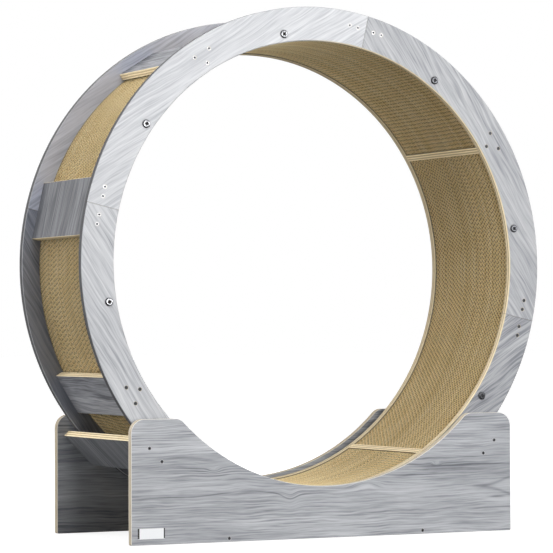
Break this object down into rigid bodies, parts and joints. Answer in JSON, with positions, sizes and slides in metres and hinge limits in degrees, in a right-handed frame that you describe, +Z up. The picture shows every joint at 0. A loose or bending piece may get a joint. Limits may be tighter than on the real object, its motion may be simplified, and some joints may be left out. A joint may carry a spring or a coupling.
{
  "type": "cat exercise wheel",
  "caption": "Large upright exercise wheel for a cat: segmented wooden rings with tan scratch pads between them, turning on rollers in a two-panel floor stand.",
  "frame": {"origin": "on the floor at the centre of the footprint, bottom centre of the bounding box", "axes": "+Z up; the wheel turns about a line along Y through (0, 0, 0.582); -Y is the front, with the name plate"},
  "size_m": [1.1, 0.4123, 1.132],
  "materials": {
    "ring_laminate": "satin pale grey wood-grain laminate, cream ply edge",
    "plank_laminate": "satin grey wood-grain laminate, cream ply edge",
    "bar_ply": "laminate faces, cream ply edge",
    "scratch_board": "matte tan corrugated board, cut edges showing",
    "panel_laminate": "satin grey wood-grain laminate, cream ply edge",
    "base_plank_laminate": "satin grey wood-grain laminate, cream ply edge",
    "screw_steel": "zinc plated",
    "bolt_chrome": "bright nickel",
    "rod_steel": "plain",
    "plate_metal": "satin, blank",
    "roller_nylon": "moulded, slightly glossy",
    "bearing_steel": "ground",
    "bracket_zinc": "zinc plated"
  },
  "bodies": {
    "base": {"base_panel_front": "panel_laminate", "base_panel_back": "panel_laminate", "cross_plank_left": "base_plank_laminate", "cross_plank_right": "base_plank_laminate", "bottom_board": "base_plank_laminate", "name_plate": "plate_metal", "panel_screws_front": "screw_steel", "panel_screws_back": "screw_steel", "roller_bracket_front_left": "bracket_zinc", "roller_bracket_front_right": "bracket_zinc", "roller_bracket_back_left": "bracket_zinc", "roller_bracket_back_right": "bracket_zinc", "roller_axles": "bracket_zinc", "axle_nuts": "bracket_zinc", "bracket_screws": "screw_steel"},
    "wheel": {"ring_front_segment_1": "ring_laminate", "ring_back_segment_1": "ring_laminate", "ring_front_segment_2": "ring_laminate", "ring_back_segment_2": "ring_laminate", "ring_front_segment_3": "ring_laminate", "ring_back_segment_3": "ring_laminate", "ring_front_segment_4": "ring_laminate", "ring_back_segment_4": "ring_laminate", "seam_plank_1": "plank_laminate", "tee_plank_1": "plank_laminate", "inner_bar_1": "bar_ply", "seam_plank_2": "plank_laminate", "tee_plank_2": "plank_laminate", "inner_bar_2": "bar_ply", "seam_plank_3": "plank_laminate", "tee_plank_3": "plank_laminate", "inner_bar_3": "bar_ply", "seam_plank_4": "plank_laminate", "tee_plank_4": "plank_laminate", "inner_bar_4": "bar_ply", "scratch_pad_1": "scratch_board", "scratch_pad_2": "scratch_board", "scratch_pad_3": "scratch_board", "scratch_pad_4": "scratch_board", "ring_screws_front": "screw_steel", "ring_screws_back": "screw_steel", "pad_bolts_front": "bolt_chrome", "pad_bolts_back": "bolt_chrome", "tie_rods": "rod_steel"},
    "front_left_roller": {"roller_front_left": "roller_nylon", "roller_bearing_front_left": "bearing_steel"},
    "front_right_roller": {"roller_front_right": "roller_nylon", "roller_bearing_front_right": "bearing_steel"},
    "back_left_roller": {"roller_back_left": "roller_nylon", "roller_bearing_back_left": "bearing_steel"},
    "back_right_roller": {"roller_back_right": "roller_nylon", "roller_bearing_back_right": "bearing_steel"}
  },
  "joints": [
    {"name": "wheel_spin", "type": "hinge", "parent": "base", "child": "wheel", "pos_m": [0, 0, 0.582], "axis": [0, 1, 0], "continuous": true},
    {"name": "front_left_roller_spin", "type": "hinge", "parent": "base", "child": "front_left_roller", "pos_m": [-0.232, -0.1635, 0.05883], "axis": [0, 1, 0], "continuous": true},
    {"name": "front_right_roller_spin", "type": "hinge", "parent": "base", "child": "front_right_roller", "pos_m": [0.232, -0.1635, 0.05883], "axis": [0, 1, 0], "continuous": true},
    {"name": "back_left_roller_spin", "type": "hinge", "parent": "base", "child": "back_left_roller", "pos_m": [-0.232, 0.1635, 0.05883], "axis": [0, 1, 0], "continuous": true},
    {"name": "back_right_roller_spin", "type": "hinge", "parent": "base", "child": "back_right_roller", "pos_m": [0.232, 0.1635, 0.05883], "axis": [0, 1, 0], "continuous": true}
  ],
  "couplings": [
    {"joint": "front_left_roller_spin", "follows": "wheel_spin", "ratio": -25},
    {"joint": "front_right_roller_spin", "follows": "wheel_spin", "ratio": -25},
    {"joint": "back_left_roller_spin", "follows": "wheel_spin", "ratio": -25},
    {"joint": "back_right_roller_spin", "follows": "wheel_spin", "ratio": -25}
  ]
}
